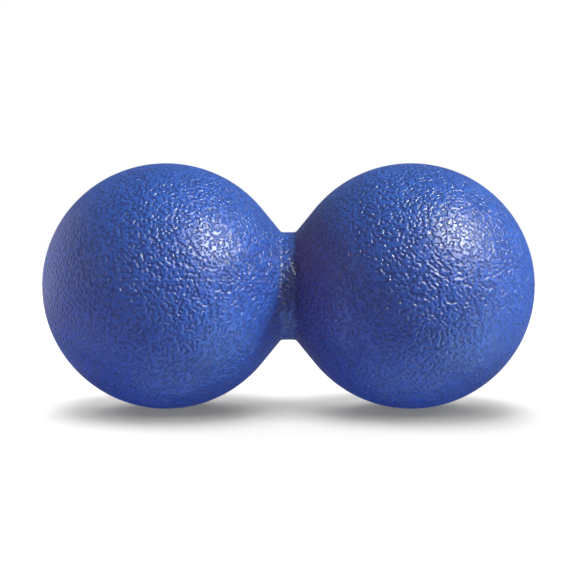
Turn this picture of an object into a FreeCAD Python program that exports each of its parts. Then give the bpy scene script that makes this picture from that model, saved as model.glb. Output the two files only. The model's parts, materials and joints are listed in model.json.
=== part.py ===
"""Peanut massage ball: a pair of solid balls joined by a short waist, moulded in one piece.

The long axis is X, +Z is up, and the origin is the middle of the waist. Each ball runs
tangentially into a straight cone, the cone turns into the waist on a small round corner,
and the waist itself is a short plain cylinder. The mould's halves met in a plane through
the long axis, which left a fine raised line round the whole outline. Lengths are in
millimetres and angles in degrees.
"""

import FreeCAD
import Part
import Sketcher

import math
import os

NODE = "peanut_ball"

SIZES = {
    "ball_diameter": (63.0, "diameter of each ball"),
    "waist_diameter": (27.8, "diameter of the waist"),
    "waist_land": (2.6, "length of the waist's plain cylinder, between its corners"),
    "waist_corner": (1.2, "radius of the corner where the waist turns into a cone"),
    "cone_angle": (50.7, "between the long axis and the side of each cone"),
    "seam_height": (0.1, "how far the parting line stands out of the surface"),
    "seam_width": (0.3, "width of the parting line"),
    "seam_tilt": (3.3, "how far the parting plane is turned about the long axis"),
}

# A sketch counts its own axes down from -1, and the places on a line or an arc up from 1
H_AXIS, V_AXIS = range(-1, -3, -1)
START, END, CENTRE = range(1, 4)

# The pieces of the half outline, from left to right, and the line that closes it
LEFT_BALL, LEFT_CONE, LEFT_CORNER, LAND, RIGHT_CORNER, RIGHT_CONE, RIGHT_BALL, AXIS = range(8)


def make_sheet(doc):
    """The spreadsheet of driving sizes: on each row a name, a number and its meaning."""
    sheet = doc.addObject("Spreadsheet::Sheet", "Sizes")
    for row, (alias, (value, meaning)) in enumerate(SIZES.items(), start=1):
        sheet.set(f"A{row}", alias)
        sheet.set(f"B{row}", str(value))
        sheet.set(f"C{row}", meaning)
        sheet.setAlias(f"B{row}", alias)
    doc.recompute()
    return sheet


def origin_feature(body, role):
    """The body's own plane or axis with this role, such as XY_Plane."""
    return next(f for f in body.Origin.OriginFeatures if f.Role == role)


def point(x, y):
    """A point of a sketch."""
    return FreeCAD.Vector(x, y, 0)


def line(start, end):
    """A straight line of a sketch, from one (x, y) to another."""
    return Part.LineSegment(point(*start), point(*end))


def arc(centre, radius, start, end):
    """An arc of a sketch about (x, y), anticlockwise between two angles in radians."""
    circle = Part.Circle(point(*centre), FreeCAD.Vector(0, 0, 1), radius)
    return Part.ArcOfCircle(circle, start, end)


def ball_centre(sheet):
    """How far each ball's centre is from the middle of the waist.

    A cone's side, at angle a, touches the ball and the waist's corner, which lie on opposite
    sides of it. With dx and dy from the corner's centre to the ball's, dx sin(a) + dy cos(a)
    is their two radii together.
    """
    angle = math.radians(sheet.cone_angle)
    radii = sheet.ball_diameter / 2 + sheet.waist_corner
    dy = sheet.waist_diameter / 2 + sheet.waist_corner
    dx = (radii - dy * math.cos(angle)) / math.sin(angle)
    return sheet.waist_land / 2 + dx


def draw_half_outline(sketch, sheet, offset):
    """Draws the outline above the long axis, standing offset outside the ball's surface.

    It runs from the left ball's end over the waist to the right ball's end, and back along
    the axis. The waist's corners are hollow, so they get smaller as the outline moves out.
    """
    centre = ball_centre(sheet)
    radius = sheet.ball_diameter / 2 + offset
    land = sheet.waist_land / 2
    waist = sheet.waist_diameter / 2 + offset
    corner = sheet.waist_corner - offset
    corner_y = waist + corner
    angle = math.radians(sheet.cone_angle)
    quarter = math.pi / 2
    foot_x = land + corner * math.sin(angle)
    foot_y = corner_y - corner * math.cos(angle)
    top_x = centre - radius * math.sin(angle)
    top_y = radius * math.cos(angle)
    sketch.addGeometry(
        [
            arc((-centre, 0), radius, quarter - angle, math.pi),
            line((-top_x, top_y), (-foot_x, foot_y)),
            arc((-land, corner_y), corner, -quarter - angle, -quarter),
            line((-land, waist), (land, waist)),
            arc((land, corner_y), corner, -quarter, angle - quarter),
            line((foot_x, foot_y), (top_x, top_y)),
            arc((centre, 0), radius, 0, quarter + angle),
            line((centre + radius, 0), (-centre - radius, 0)),
        ]
    )


def shape_half_outline(sketch):
    """Holds the outline's form: pieces that meet without a kink, and two like halves."""
    rule = Sketcher.Constraint
    sketch.addConstraint(
        [
            rule("Tangent", LEFT_BALL, START, LEFT_CONE, START),
            rule("Tangent", LEFT_CONE, END, LEFT_CORNER, START),
            rule("Tangent", LEFT_CORNER, END, LAND, START),
            rule("Tangent", LAND, END, RIGHT_CORNER, START),
            rule("Tangent", RIGHT_CORNER, END, RIGHT_CONE, START),
            rule("Tangent", RIGHT_CONE, END, RIGHT_BALL, END),
            rule("Coincident", RIGHT_BALL, START, AXIS, START),
            rule("Coincident", LEFT_BALL, END, AXIS, END),
            rule("PointOnObject", AXIS, START, H_AXIS),
            rule("PointOnObject", AXIS, END, H_AXIS),
            rule("PointOnObject", RIGHT_BALL, CENTRE, H_AXIS),
            rule("Symmetric", LEFT_BALL, CENTRE, RIGHT_BALL, CENTRE, H_AXIS, START),
            rule("Symmetric", LAND, START, LAND, END, V_AXIS),
            rule("Equal", LEFT_BALL, RIGHT_BALL),
            rule("Equal", LEFT_CORNER, RIGHT_CORNER),
        ]
    )


def size_half_outline(sketch, offset):
    """Ties the outline's sizes to the spreadsheet. offset is an expression."""
    ball = sketch.Geometry[RIGHT_BALL].Radius
    corner = sketch.Geometry[RIGHT_CORNER].Radius
    land = sketch.Geometry[LAND].length()
    waist = sketch.Geometry[LAND].StartPoint.y
    side = sketch.Geometry[RIGHT_CONE]
    angle = math.atan2(side.EndPoint.y - side.StartPoint.y, side.EndPoint.x - side.StartPoint.x)
    rule = Sketcher.Constraint
    sizes = [
        (rule("Radius", RIGHT_BALL, ball), f"Sizes.ball_diameter / 2 + {offset}"),
        (rule("Radius", RIGHT_CORNER, corner), f"Sizes.waist_corner - {offset}"),
        (rule("Angle", RIGHT_CONE, angle), "Sizes.cone_angle * 1 deg"),
        (rule("DistanceX", LAND, START, LAND, END, land), "Sizes.waist_land"),
        (rule("DistanceY", H_AXIS, START, LAND, START, waist), f"Sizes.waist_diameter / 2 + {offset}"),
    ]
    for dimension, expression in sizes:
        index = sketch.addConstraint(dimension)
        sketch.setExpression(f"Constraints[{index}]", expression)


def parting_plane(body, sheet):
    """The plane where the mould's halves met: level, then turned about the long axis."""
    plane = body.newObject("PartDesign::Plane", "PartingPlane")
    plane.AttachmentSupport = (origin_feature(body, "XY_Plane"), [""])
    plane.MapMode = "FlatFace"
    plane.AttachmentOffset = FreeCAD.Placement(
        FreeCAD.Vector(), FreeCAD.Rotation(FreeCAD.Vector(1, 0, 0), -sheet.seam_tilt)
    )
    plane.setExpression("AttachmentOffset.Rotation.Angle", "-Sizes.seam_tilt")
    return plane


def half_outline(body, plane, sheet, name, offset, offset_expression):
    """A sketch in the parting plane of the outline on one side of the long axis."""
    sketch = body.newObject("Sketcher::SketchObject", name)
    sketch.AttachmentSupport = (plane, [""])
    sketch.MapMode = "FlatFace"
    draw_half_outline(sketch, sheet, offset)
    shape_half_outline(sketch)
    size_half_outline(sketch, offset_expression)
    return sketch


def turn_balls(body, plane, sheet):
    """Both balls, their cones and the waist, as one outline turned about the long axis."""
    turned = body.newObject("PartDesign::Revolution", "BallsAndWaist")
    turned.Profile = half_outline(body, plane, sheet, "BallOutline", 0, "0")
    turned.ReferenceAxis = (origin_feature(body, "X_Axis"), [""])
    turned.Angle = 360
    return turned


def add_seam(doc, body, plane, sheet):
    """The parting line: a thin slab in the parting plane, cut to the outline plus its height.

    The slab covers one side of the long axis, and half a turn about that axis covers the
    other. All but its edge lies inside the balls.
    """
    height = sheet.seam_height
    slab = body.newObject("PartDesign::Pad", "SeamSlab")
    slab.Profile = half_outline(body, plane, sheet, "SeamOutline", height, "Sizes.seam_height")
    slab.Midplane = True
    slab.setExpression("Length", "Sizes.seam_width")
    doc.recompute()
    all_round = body.newObject("PartDesign::PolarPattern", "SeamAllRound")
    all_round.Originals = [slab]
    all_round.Axis = (origin_feature(body, "X_Axis"), [""])
    all_round.Angle = 360
    all_round.Occurrences = 2
    return all_round


def make_ball(doc, sheet):
    """The massage ball as one solid."""
    body = doc.addObject("PartDesign::Body", "PeanutBall")
    body.Label = NODE
    plane = parting_plane(body, sheet)
    turn_balls(body, plane, sheet)
    body.Tip = add_seam(doc, body, plane, sheet)
    doc.recompute()
    return body


def check(doc, body):
    """Stops if an object failed to build, a sketch is loose or the ball isn't one solid."""
    failed = [o.Label for o in doc.Objects if {"Invalid", "Error"} & set(o.State)]
    if failed:
        raise RuntimeError(f"failed to build: {failed}")
    sketches = [o for o in doc.Objects if o.isDerivedFrom("Sketcher::SketchObject")]
    loose = [s.Label for s in sketches if not s.FullyConstrained]
    if loose:
        raise RuntimeError(f"not fully constrained: {loose}")
    shape = body.Shape
    if shape.isNull() or not shape.isValid() or len(shape.Solids) != 1:
        raise RuntimeError(f"{body.Label} is not one valid solid")


def main():
    doc = FreeCAD.newDocument("PeanutMassageBall")
    sheet = make_sheet(doc)
    body = make_ball(doc, sheet)
    check(doc, body)
    os.makedirs("parts", exist_ok=True)
    body.Shape.exportStep(os.path.join("parts", f"{body.Label}.step"))
    box = body.Shape.BoundBox
    print(f"{body.Label}: {box.XLength:.2f} x {box.YLength:.2f} x {box.ZLength:.2f} mm")
    print(f"volume {body.Shape.Volume / 1000:.1f} cm3, ball centres at {ball_centre(sheet):.2f} mm")


main()
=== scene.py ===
"""A peanut massage ball of grained blue rubber, on a white studio floor.

The script is laid out as an add-on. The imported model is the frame: the long axis is X, +Z is
up, and the origin is the middle of the waist. Lengths are in metres and angles in radians.
"""

import json
import math

import bpy
import numpy as np
from bpy.props import FloatProperty, FloatVectorProperty, IntProperty, PointerProperty
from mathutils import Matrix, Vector


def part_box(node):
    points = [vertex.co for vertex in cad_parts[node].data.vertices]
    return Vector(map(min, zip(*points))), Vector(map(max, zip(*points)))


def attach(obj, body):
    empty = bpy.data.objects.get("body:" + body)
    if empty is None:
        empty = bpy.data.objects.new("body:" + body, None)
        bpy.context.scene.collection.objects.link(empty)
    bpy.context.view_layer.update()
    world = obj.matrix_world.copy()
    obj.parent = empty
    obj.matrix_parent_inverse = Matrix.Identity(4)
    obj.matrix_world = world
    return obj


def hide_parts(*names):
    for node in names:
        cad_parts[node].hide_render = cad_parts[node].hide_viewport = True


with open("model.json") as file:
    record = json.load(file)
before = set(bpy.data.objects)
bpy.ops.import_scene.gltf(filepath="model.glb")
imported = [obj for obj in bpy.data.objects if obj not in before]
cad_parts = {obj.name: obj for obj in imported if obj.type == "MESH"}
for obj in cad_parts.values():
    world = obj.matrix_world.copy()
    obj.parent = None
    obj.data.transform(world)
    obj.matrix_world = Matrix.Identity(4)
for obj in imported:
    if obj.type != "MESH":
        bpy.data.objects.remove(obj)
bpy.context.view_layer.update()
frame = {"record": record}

bl_info = {
    "name": "Peanut Massage Ball",
    "version": (1, 0, 0),
    "blender": (4, 5, 0),
    "location": "3D Viewport > Sidebar > Massage Ball",
    "description": "Moulded rubber massage ball with an embossed grain, and a studio stage",
    "category": "Add Mesh",
}

NODE = "peanut_ball"
SLOT = "blue_rubber"
BODY = "root"
MM = 0.001
WHITE = (1.0, 1.0, 1.0)

CAD_LOW, CAD_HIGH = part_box(NODE)
WAIST = frame["record"]["mounts"][0]["dims"]

# The grain: how the lattices of its three noises are turned, what their sum is multiplied by,
# and the levels at the bottom of a groove and at the flat top
GRAIN_TURNS = ((0.4, 1.0, 2.2), (1.3, 0.5, 0.8), (2.1, 2.6, 1.5))
GRAIN_GAIN = 2.2
GROOVE_LEVEL = -1.8
TOP_LEVEL = 1.2

# Wide faint patches in the rubber, and how far shade and roughness differ between them
PATCH_SIZE = 14 * MM
PATCH_SHADE = 0.12
PATCH_ROUGHNESS = 0.04

# The rubber's colour in reflections, a painted purple reflection that tints its shaded crease
# at the waist, and its colour to the light that bounces off it onto other things
PAINTED_PURPLE_REFLECTION = (0.22, 0.07, 0.32, 1.0)
RUBBER_IN_BOUNCES = (0.12, 0.09, 0.06, 1.0)

# The floor: its paint and glow as the camera sees them, its paint to other rays, and half
# its width
FLOOR_PAINT = (0.9, 0.9, 0.9, 1.0)
FLOOR_GLOW = 0.12
FLOOR_DIM_PAINT = (0.13, 0.13, 0.13, 1.0)
FLOOR_HALF = 2.0

# Soft boxes for the ball: azimuth and elevation in degrees, distance and width in metres
KEY_PLACE = (66, 43, 1.2, 0.25)
GLEAM_PLACE = (54, 39, 0.45, 0.26)
BACK_PLACE = (240, 8, 0.8, 0.6)
RIGHT_PLACE = (90, 0, 1.0, 0.7)
LEFT_PLACE = (285, 10, 1.0, 0.7)

# Soft boxes for light off the floor: name, place, share of the bounce light and colour
BOUNCES = (
    ("bounce_right", (75, -38, 0.6, 0.6), 1.0, (0.40, 0.66, 1.0)),
    ("bounce_left", (285, -30, 0.8, 0.6), 0.45, (0.30, 0.38, 1.0)),
    ("bounce_under", (0, -88, 0.6, 0.6), 0.44, (0.50, 0.70, 1.0)),
)

# Lamps that light the floor alone: azimuth and elevation in degrees, and strength
FLOOR_SUNS = ((0, 90, 0.52), (0, 62, 0.22), (180, 35, 0.46), (225, 35, 0.30), (90, 35, 0.12))
FLOOR_SUN_WIDTH = math.radians(36)

CAMERA_TARGET = (-0.12 * MM, 0, -0.52 * MM)


class BallSizes(bpy.types.PropertyGroup):
    """The form of the ball, and how fine its surface is drawn."""

    ball_diameter: FloatProperty(
        name="Ball Diameter",
        description="Diameter of each ball",
        default=CAD_HIGH.z - CAD_LOW.z,
        unit="LENGTH",
    )
    waist_diameter: FloatProperty(
        name="Waist Diameter",
        description="Diameter of the waist",
        default=2 * WAIST["r_mm"] * MM,
        unit="LENGTH",
    )
    waist_land: FloatProperty(
        name="Waist Land",
        description="Length of the waist's plain cylinder, between its corners",
        default=WAIST["length_mm"] * MM,
        unit="LENGTH",
    )
    waist_corner: FloatProperty(
        name="Waist Corner",
        description="Radius of the corner where the waist turns into a cone",
        default=1.2 * MM,
        unit="LENGTH",
    )
    cone_angle: FloatProperty(
        name="Cone Angle",
        description="Between the long axis and the side of each cone",
        default=math.radians(50.7),
        unit="ROTATION",
    )
    seam_height: FloatProperty(
        name="Seam Height",
        description="How far the parting line stands out of the surface",
        default=0.1 * MM,
        unit="LENGTH",
    )
    seam_width: FloatProperty(
        name="Seam Width",
        description="Width of the parting line",
        default=0.3 * MM,
        unit="LENGTH",
    )
    seam_tilt: FloatProperty(
        name="Seam Tilt",
        description="How far the parting plane is turned about the long axis, up at the front",
        default=math.radians(3.3),
        unit="ROTATION",
    )
    rows: IntProperty(
        name="Rows",
        description="Steps of the surface from end to end",
        default=296,
        min=32,
    )
    columns: IntProperty(
        name="Columns",
        description="Steps of the surface round the long axis",
        default=336,
        min=32,
    )


class RubberFinish(bpy.types.PropertyGroup):
    """The rubber's colour, gloss and embossed grain."""

    colour: FloatVectorProperty(
        name="Colour",
        description="Colour of the rubber",
        subtype="COLOR",
        size=3,
        min=0.0,
        max=1.0,
        default=(0.022, 0.101, 0.44),
    )
    roughness: FloatProperty(
        name="Roughness",
        description="Roughness of the rubber on top of the grain",
        default=0.29,
        subtype="FACTOR",
        min=0.0,
        max=1.0,
    )
    gloss: FloatProperty(
        name="Gloss",
        description="Strength of the rubber's reflections, where 0.5 is that of plain plastic",
        default=0.75,
        subtype="FACTOR",
        min=0.0,
        max=1.0,
    )
    # Painted glow: the rubber gives off a faint purple light of its own, which lifts its shaded parts
    # towards purple
    painted_shade_glow: FloatVectorProperty(
        name="Bloom",
        description="Faint veil of the rubber's surface, seen where no light falls",
        subtype="COLOR",
        size=3,
        min=0.0,
        max=1.0,
        default=(0.010, 0.004, 0.008),
    )
    grain_size: FloatProperty(
        name="Grain Size",
        description="Size of the noise cells that the grain follows, about two thirds of its pitch",
        default=0.8 * MM,
        unit="LENGTH",
    )
    grain_depth: FloatProperty(
        name="Grain Depth",
        description="From the top of the grain to the bottom of its grooves",
        default=0.24 * MM,
        unit="LENGTH",
    )
    # Painted shade: darkens the rubber's colour at the bottom of each groove, where the bump casts no
    # shade of its own
    groove_painted_shade: FloatProperty(
        name="Groove Shade",
        description="How much darker the rubber is at the bottom of a groove",
        default=0.38,
        subtype="FACTOR",
        min=0.0,
        max=1.0,
    )


class StageSetup(bpy.types.PropertyGroup):
    """The camera, the lamps and the floor."""

    camera_distance: FloatProperty(
        name="Camera Distance",
        description="From the camera to the middle of the waist",
        default=238.5 * MM,
        unit="LENGTH",
    )
    camera_height: FloatProperty(
        name="Camera Angle",
        description="Angle of the camera above the level",
        default=math.radians(1.0),
        unit="ROTATION",
    )
    lens: FloatProperty(
        name="Lens",
        description="Focal length of the camera, in millimetres",
        default=57.6,
    )
    key_light: FloatProperty(
        name="Key Light",
        description="Light of the key lamp on a white card that faces it, where 1 is white",
        default=1.42,
        min=0.0,
    )
    gleam_light: FloatProperty(
        name="Gleam Light",
        description="Light of the nearer lamp that only the highlights show, where 1 is white",
        default=1.6,
        min=0.0,
    )
    gleam_colour: FloatVectorProperty(
        name="Gleam Colour",
        description="Colour of the highlights",
        subtype="COLOR",
        size=3,
        min=0.0,
        max=1.0,
        default=(1.0, 0.95, 0.65),
    )
    side_light: FloatProperty(
        name="Side Light",
        description="Soft light of the lamps to the right and left, where 1 is white",
        default=0.075,
        min=0.0,
    )
    bounce_light: FloatProperty(
        name="Bounce Light",
        description="Light that comes up off the floor from the right, where 1 is white",
        default=0.64,
        min=0.0,
    )
    back_light: FloatProperty(
        name="Back Light",
        description="Soft light from behind on the left, where 1 is white",
        default=0.375,
        min=0.0,
    )
    rim_light: FloatProperty(
        name="Rim Light",
        description="Light whose reflection runs along the left ball's edge, where 1 is white",
        default=0.12,
        min=0.0,
    )
    fill_light: FloatProperty(
        name="Fill Light",
        description="Light of the surroundings, where 1 is white",
        default=0.205,
        min=0.0,
    )
    mirrored_colour: FloatVectorProperty(
        name="Mirrored Colour",
        description="Colour of the surroundings in the ball's reflections",
        subtype="COLOR",
        size=3,
        min=0.0,
        max=1.0,
        default=(0.16, 0.21, 0.38),
    )
    floor_light: FloatProperty(
        name="Floor Light",
        description="Light of the floor's own lamps, where 1 makes it white",
        default=1.0,
        min=0.0,
    )


def outline(along, sizes):
    """The ball's outline in a plane through the long axis.

    along is the length of outline from the middle of the waist, below zero on the left. The
    outline is four stretches added up: the waist's cylinder, a corner of waist_corner that
    turns it up to cone_angle, the straight cone, and the ball's arc from cone_angle down to
    minus a quarter turn. Returns the place on the axis, the distance from it and the lean
    of the surface against it.
    """
    angle = sizes.cone_angle
    ball = sizes.ball_diameter / 2
    corner = sizes.waist_corner
    waist = sizes.waist_diameter / 2
    land = sizes.waist_land / 2
    corner_end = land + corner * angle
    cone_length = (ball * math.cos(angle) - waist - corner * (1 - math.cos(angle))) / math.sin(angle)
    cone_end = corner_end + cone_length

    run = np.abs(along)
    on_land = np.minimum(run, land)
    corner_lean = np.clip((run - land) / corner, 0, angle)
    on_cone = np.clip(run - corner_end, 0, cone_length)
    turned = np.clip((run - cone_end) / ball, 0, angle + math.pi / 2)
    ball_lean = angle - turned
    x = on_land + corner * np.sin(corner_lean) + on_cone * math.cos(angle)
    x += ball * (math.sin(angle) - np.sin(ball_lean))
    r = waist + corner * (1 - np.cos(corner_lean)) + on_cone * math.sin(angle)
    r += ball * (np.cos(ball_lean) - math.cos(angle))
    return np.sign(along) * x, r, np.sign(along) * (corner_lean - turned)


def outline_end(sizes):
    """The length of outline from the middle of the waist to the far end of a ball.

    It is half the waist's cylinder, the corner's arc, the cone's side and the ball's arc. The
    cone climbs from the corner's end to where it touches the ball.
    """
    angle = sizes.cone_angle
    corner = sizes.waist_corner
    ball = sizes.ball_diameter / 2
    climb = ball * math.cos(angle) - sizes.waist_diameter / 2 - corner * (1 - math.cos(angle))
    return sizes.waist_land / 2 + corner * angle + climb / math.sin(angle) + ball * (angle + math.pi / 2)


def spread(low, high, count, density):
    """count + 1 places from low to high, as close together as density asks.

    The density is added up along the way in short steps, and the places are where that sum
    passes equal steps.
    """
    short_steps = 40
    fine = np.linspace(low, high, short_steps * count + 1)
    weight = density((fine[1:] + fine[:-1]) / 2)
    total = np.concatenate([[0], np.cumsum(weight)])
    return np.interp(np.linspace(0, total[-1], count + 1), total, fine)


def grid_mesh(name, points):
    """A closed mesh from rows of points round an axis, where the first and last row are poles."""
    rows, columns = points.shape[0] - 2, points.shape[1]
    ring = points[1:-1].reshape(-1, 3)
    vertices = np.concatenate([ring, points[:1, 0], points[-1:, 0]])
    first, last = rows * columns, rows * columns + 1
    here = np.arange(columns)
    after = (here + 1) % columns
    step = columns * np.arange(rows - 1)[:, None]
    quads = np.stack([step + here, step + after, step + columns + after, step + columns + here], -1)
    top = columns * (rows - 1)
    start_cap = np.stack([np.full(columns, first), after, here], -1)
    end_cap = np.stack([np.full(columns, last), top + here, top + after], -1)
    corners = np.concatenate([quads.ravel(), start_cap.ravel(), end_cap.ravel()])
    sides = np.repeat([4, 3], [quads.size // 4, 2 * columns])

    mesh = bpy.data.meshes.new(name)
    mesh.vertices.add(len(vertices))
    mesh.vertices.foreach_set("co", vertices.astype(np.float32).ravel())
    mesh.loops.add(len(corners))
    mesh.loops.foreach_set("vertex_index", corners.astype(np.int32))
    mesh.polygons.add(len(sides))
    mesh.polygons.foreach_set("loop_start", (np.cumsum(sides) - sides).astype(np.int32))
    mesh.polygons.foreach_set("use_smooth", np.ones(len(sides), bool))
    mesh.update(calc_edges=True)
    mesh.validate()
    return mesh


def ball_points(sizes):
    """The ball's surface: the outline turned about the long axis, with its parting line.

    Rows lie closer at the waist and columns closer at the parting line. The line stands out
    square to the surface by a bell curve across the distance from the parting plane.
    """
    end = outline_end(sizes)
    waist_zone, waist_extra = 4 * MM, 1.5
    seam_zone, seam_extra = 0.9 * MM / (sizes.ball_diameter / 2), 3
    along = spread(
        -end, end, sizes.rows, lambda s: 1 + waist_extra * np.exp(-((s / waist_zone) ** 2))
    )
    turn = spread(
        0,
        2 * math.pi,
        sizes.columns,
        lambda t: 1 + seam_extra * np.exp(-((np.sin(t) / seam_zone) ** 2)),
    )[:-1]
    x, r, lean = (v[:, None] for v in outline(along, sizes))
    round_y = -np.cos(turn - sizes.seam_tilt)
    round_z = -np.sin(turn - sizes.seam_tilt)
    flat = np.ones_like(turn)
    points = np.stack([x * flat, r * round_y, r * round_z], -1)
    outward = np.stack([-np.sin(lean) * flat, np.cos(lean) * round_y, np.cos(lean) * round_z], -1)
    seam = sizes.seam_height * np.exp(-((r * np.sin(turn) / (sizes.seam_width / 2)) ** 2))
    return points + outward * seam[..., None]


def node(tree, kind, inputs=None, **settings):
    """A new node of a tree, with its settings, and with its inputs set or linked."""
    made = tree.nodes.new(kind)
    for name, value in settings.items():
        setattr(made, name, value)
    for name, value in (inputs or {}).items():
        if isinstance(value, bpy.types.NodeSocket):
            tree.links.new(value, made.inputs[name])
        else:
            made.inputs[name].default_value = value
    return made


def math_node(tree, operation, *values):
    """The result of a Math node on one, two or three values."""
    return node(tree, "ShaderNodeMath", dict(enumerate(values)), operation=operation).outputs[0]


def map_range(tree, value, low, high, to_low=0.0, to_high=1.0):
    """A value's place between low and high, on a smooth step from to_low to to_high."""
    inputs = {"Value": value, "From Min": low, "From Max": high, "To Min": to_low, "To Max": to_high}
    return node(tree, "ShaderNodeMapRange", inputs, interpolation_type="SMOOTHSTEP").outputs[0]


def mix_colours(tree, factor, first, second, blend_type="MIX"):
    """The result of a Mix node on two colours, which are its sockets 6 and 7."""
    inputs = {"Factor": factor, 6: first, 7: second}
    made = node(tree, "ShaderNodeMix", inputs, data_type="RGBA", blend_type=blend_type)
    return made.outputs[2]


def noise_node(tree, coordinates, size, detail=0.0):
    """The plain value of a Noise Texture whose lattice has cells of this size."""
    inputs = {"Vector": coordinates, "Scale": 1 / size, "Detail": detail}
    return node(tree, "ShaderNodeTexNoise", inputs, normalize=False).outputs[0]


def grain_level(tree, place, size):
    """The level of the grain at each point, from about -2 to 2.

    It is three noises with turned lattices, added up, because one alone shows its lattice.
    """
    total = None
    for turn in GRAIN_TURNS:
        turned = node(tree, "ShaderNodeMapping", {"Vector": place, "Rotation": turn}).outputs[0]
        level = noise_node(tree, turned, size)
        total = level if total is None else math_node(tree, "ADD", total, level)
    return math_node(tree, "MULTIPLY", total, GRAIN_GAIN)


def rubber_material(finish):
    """Blue rubber with an embossed grain of short worms, and painted shade at the bottom of its grooves.

    In reflections the rubber is painted purple, a painted reflection that gives the shaded crease
    at the waist its purple. The light that it throws on the floor is almost grey, so the shadow
    stays neutral.
    """
    material = bpy.data.materials.new(SLOT)
    material.use_nodes = True
    tree = material.node_tree
    tree.nodes.clear()
    place = node(tree, "ShaderNodeTexCoord").outputs["Object"]

    level = grain_level(tree, place, finish.grain_size)
    top = map_range(tree, level, GROOVE_LEVEL, TOP_LEVEL)
    height = math_node(tree, "MULTIPLY", top, finish.grain_depth)
    bump = node(tree, "ShaderNodeBump", {"Height": height, "Distance": 1.0, "Strength": 1.0})

    patch = map_range(tree, noise_node(tree, place, PATCH_SIZE, 2.0), -0.5, 0.5)
    shade = math_node(tree, "MULTIPLY_ADD", patch, PATCH_SHADE, 1 - PATCH_SHADE / 2)
    # Painted shade in the grooves, where the bump casts none of its own
    groove = map_range(tree, top, 0.0, 1.0, 1 - finish.groove_painted_shade, 1.0)
    shade = math_node(tree, "MULTIPLY", shade, groove)
    grey = node(tree, "ShaderNodeCombineColor", {"Red": shade, "Green": shade, "Blue": shade})
    colour = mix_colours(tree, 1.0, (*finish.colour, 1.0), grey.outputs[0], "MULTIPLY")
    path = node(tree, "ShaderNodeLightPath")
    colour = mix_colours(tree, path.outputs["Is Diffuse Ray"], colour, RUBBER_IN_BOUNCES)
    # Painted reflection: glossy rays see the rubber purple, which tints the shaded crease at the waist
    colour = mix_colours(tree, path.outputs["Is Glossy Ray"], colour, PAINTED_PURPLE_REFLECTION)
    dull = math_node(tree, "MULTIPLY_ADD", patch, PATCH_ROUGHNESS, finish.roughness)
    # The emission is a painted glow that lifts the shaded rubber towards purple where little lamp light
    # falls
    skin = node(
        tree,
        "ShaderNodeBsdfPrincipled",
        {
            "Base Color": colour,
            "Roughness": dull,
            "Specular IOR Level": finish.gloss,
            "Emission Color": (*finish.painted_shade_glow, 1.0),
            "Emission Strength": 1.0,
            "Normal": bump.outputs[0],
        },
    )
    node(tree, "ShaderNodeOutputMaterial", {"Surface": skin.outputs[0]})
    return material


def floor_material():
    """White floor that keeps the ball's shadow, and throws little of its light back at the ball.

    A glow that only camera and transmission rays see makes the floor past the shadow white.
    The ball's reflections see the floor dim, so they put no white rim round it.
    """
    material = bpy.data.materials.new("studio_floor")
    material.use_nodes = True
    tree = material.node_tree
    tree.nodes.clear()
    path = node(tree, "ShaderNodeLightPath")
    seen = math_node(tree, "MAXIMUM", path.outputs["Is Camera Ray"], path.outputs["Is Transmission Ray"])
    paint = node(tree, "ShaderNodeBsdfDiffuse", {"Color": FLOOR_PAINT})
    glow = node(tree, "ShaderNodeEmission", {"Strength": FLOOR_GLOW})
    lit = node(tree, "ShaderNodeAddShader", {0: paint.outputs[0], 1: glow.outputs[0]})
    dim = node(tree, "ShaderNodeBsdfDiffuse", {"Color": FLOOR_DIM_PAINT})
    both = node(tree, "ShaderNodeMixShader", {0: seen, 1: dim.outputs[0], 2: lit.outputs[0]})
    node(tree, "ShaderNodeOutputMaterial", {"Surface": both.outputs[0]})
    return material


def studio_world(setup):
    """White to the camera, a soft fill for diffuse surfaces, and dim in the ball's reflections.

    The reflections see mirrored_colour in place of white, so they put no white rim round it.
    """
    world = bpy.data.worlds.new("studio")
    bpy.context.scene.world = world
    world.use_nodes = True
    tree = world.node_tree
    tree.nodes.clear()
    path = node(tree, "ShaderNodeLightPath")
    fill, mirrored, white = (
        node(tree, "ShaderNodeBackground", {"Color": (*colour, 1.0), "Strength": strength})
        for colour, strength in (
            (WHITE, setup.fill_light),
            (setup.mirrored_colour, 1.0),
            (WHITE, 1.0),
        )
    )
    lit = node(
        tree,
        "ShaderNodeMixShader",
        {0: path.outputs["Is Glossy Ray"], 1: fill.outputs[0], 2: mirrored.outputs[0]},
    )
    seen = math_node(tree, "MAXIMUM", path.outputs["Is Camera Ray"], path.outputs["Is Transmission Ray"])
    both = node(tree, "ShaderNodeMixShader", {0: seen, 1: lit.outputs[0], 2: white.outputs[0]})
    node(tree, "ShaderNodeOutputWorld", {"Surface": both.outputs[0]})


def link_object(name, data):
    """A new object in the scene."""
    made = bpy.data.objects.new(name, data)
    bpy.context.scene.collection.objects.link(made)
    return made


def aim(thing, place, target):
    """Puts a camera or lamp at a place, looking at a target."""
    thing.location = place
    thing.rotation_euler = (Vector(target) - Vector(place)).to_track_quat("-Z", "Y").to_euler()


def direction(azimuth, elevation):
    """The unit vector of a direction in degrees: azimuth 0 is the camera's side and 90 the right."""
    turn, lift = math.radians(azimuth), math.radians(elevation)
    return Vector((math.sin(turn) * math.cos(lift), -math.cos(turn) * math.cos(lift), math.sin(lift)))


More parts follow.
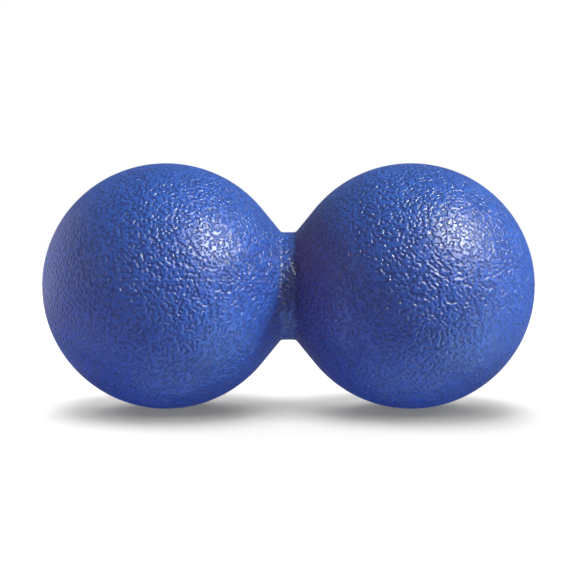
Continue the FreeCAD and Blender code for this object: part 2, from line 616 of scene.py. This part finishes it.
def soft_box(name, spot, card_light, colour, receivers):
    """A round soft box that lights only the receivers, and that only they shade.

    spot is its azimuth and elevation, distance and width. A lamp of power P on a disc sends
    P / (pi d)^2 to a card at distance d that faces it, counted so that 1 makes a white card
    white. Multiple importance is off, because the rays it adds stop at the floor, above the
    lamps that stand for the light off it.
    """
    azimuth, elevation, distance, width = spot
    data = bpy.data.lights.new(name, "AREA")
    data.shape = "DISK"
    data.size = width
    data.color = colour
    data.energy = card_light * (math.pi * distance) ** 2
    data.cycles.use_multiple_importance_sampling = False
    lamp = link_object(name, data)
    aim(lamp, direction(azimuth, elevation) * distance, (0, 0, 0))
    lamp.light_linking.receiver_collection = receivers
    lamp.light_linking.blocker_collection = receivers
    return lamp


class MASSAGEBALL_OT_ball(bpy.types.Operator):
    """Add the massage ball in place of its CAD solid"""

    bl_idname = "massageball.ball"
    bl_label = "Add Ball"
    bl_options = {"REGISTER", "UNDO"}

    def execute(self, context):
        sizes = context.scene.massage_ball_sizes
        finish = context.scene.massage_ball_finish
        ball = link_object("massage_ball", grid_mesh("massage_ball", ball_points(sizes)))
        ball.data.materials.append(rubber_material(finish))
        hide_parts(NODE)
        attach(ball, BODY)
        return {"FINISHED"}


class MASSAGEBALL_OT_stage(bpy.types.Operator):
    """Add the floor, the lamps, the surroundings and the camera"""

    bl_idname = "massageball.stage"
    bl_label = "Add Stage"
    bl_options = {"REGISTER", "UNDO"}

    def execute(self, context):
        setup = context.scene.massage_ball_stage
        mesh = bpy.data.meshes.new("studio_floor")
        corners = [(-1, -1), (1, -1), (1, 1), (-1, 1)]
        vertices = [(x * FLOOR_HALF, y * FLOOR_HALF, CAD_LOW.z) for x, y in corners]
        mesh.from_pydata(vertices, [], [(0, 1, 2, 3)])
        floor = link_object("studio_floor", mesh)
        floor.data.materials.append(floor_material())
        studio_world(setup)

        lit_ball = bpy.data.collections.new("lit_ball")
        lit_ball.objects.link(bpy.data.objects["massage_ball"])
        key = soft_box("key_light", KEY_PLACE, setup.key_light, WHITE, lit_ball)
        key.visible_glossy = False
        gleam = soft_box("gleam_light", GLEAM_PLACE, setup.gleam_light, setup.gleam_colour, lit_ball)
        gleam.visible_diffuse = False
        soft_box("rim_light", BACK_PLACE, setup.rim_light, WHITE, lit_ball)
        back = soft_box("back_light", BACK_PLACE, setup.back_light, WHITE, lit_ball)
        back.visible_glossy = False
        soft_box("right_light", RIGHT_PLACE, setup.side_light, WHITE, lit_ball)
        soft_box("left_light", LEFT_PLACE, setup.side_light, WHITE, lit_ball)
        for name, spot, share, colour in BOUNCES:
            soft_box(name, spot, setup.bounce_light * share, colour, lit_ball)

        lit_floor = bpy.data.collections.new("lit_floor")
        lit_floor.objects.link(floor)
        for azimuth, elevation, strength in FLOOR_SUNS:
            sun = bpy.data.lights.new("floor_light", "SUN")
            sun.angle = FLOOR_SUN_WIDTH
            sun.energy = math.pi * strength * setup.floor_light
            lamp = link_object("floor_light", sun)
            aim(lamp, direction(azimuth, elevation), (0, 0, 0))
            lamp.light_linking.receiver_collection = lit_floor

        data = bpy.data.cameras.new("camera")
        data.lens = setup.lens
        data.sensor_width = 36.0
        data.clip_start = 10 * MM
        camera = link_object("camera", data)
        lift = setup.camera_height
        place = Vector((0, -math.cos(lift), math.sin(lift))) * setup.camera_distance
        aim(camera, place, CAMERA_TARGET)
        context.scene.camera = camera
        context.scene.view_settings.view_transform = "Standard"
        return {"FINISHED"}


class MASSAGEBALL_PT_panel(bpy.types.Panel):
    """Sizes, finish and stage of the massage ball"""

    bl_idname = "MASSAGEBALL_PT_panel"
    bl_label = "Massage Ball"
    bl_space_type = "VIEW_3D"
    bl_region_type = "UI"
    bl_category = "Massage Ball"

    def draw(self, context):
        scene = context.scene
        for group, operator in (
            (scene.massage_ball_sizes, None),
            (scene.massage_ball_finish, MASSAGEBALL_OT_ball),
            (scene.massage_ball_stage, MASSAGEBALL_OT_stage),
        ):
            box = self.layout.box()
            for name in group.__annotations__:
                box.prop(group, name)
            if operator:
                box.operator(operator.bl_idname)


CLASSES = (
    BallSizes,
    RubberFinish,
    StageSetup,
    MASSAGEBALL_OT_ball,
    MASSAGEBALL_OT_stage,
    MASSAGEBALL_PT_panel,
)


def register():
    for cls in CLASSES:
        bpy.utils.register_class(cls)
    bpy.types.Scene.massage_ball_sizes = PointerProperty(type=BallSizes)
    bpy.types.Scene.massage_ball_finish = PointerProperty(type=RubberFinish)
    bpy.types.Scene.massage_ball_stage = PointerProperty(type=StageSetup)


def unregister():
    del bpy.types.Scene.massage_ball_stage
    del bpy.types.Scene.massage_ball_finish
    del bpy.types.Scene.massage_ball_sizes
    for cls in reversed(CLASSES):
        bpy.utils.unregister_class(cls)


def main():
    register()
    bpy.ops.massageball.ball()
    bpy.ops.massageball.stage()


if __name__ == "__main__":
    main()
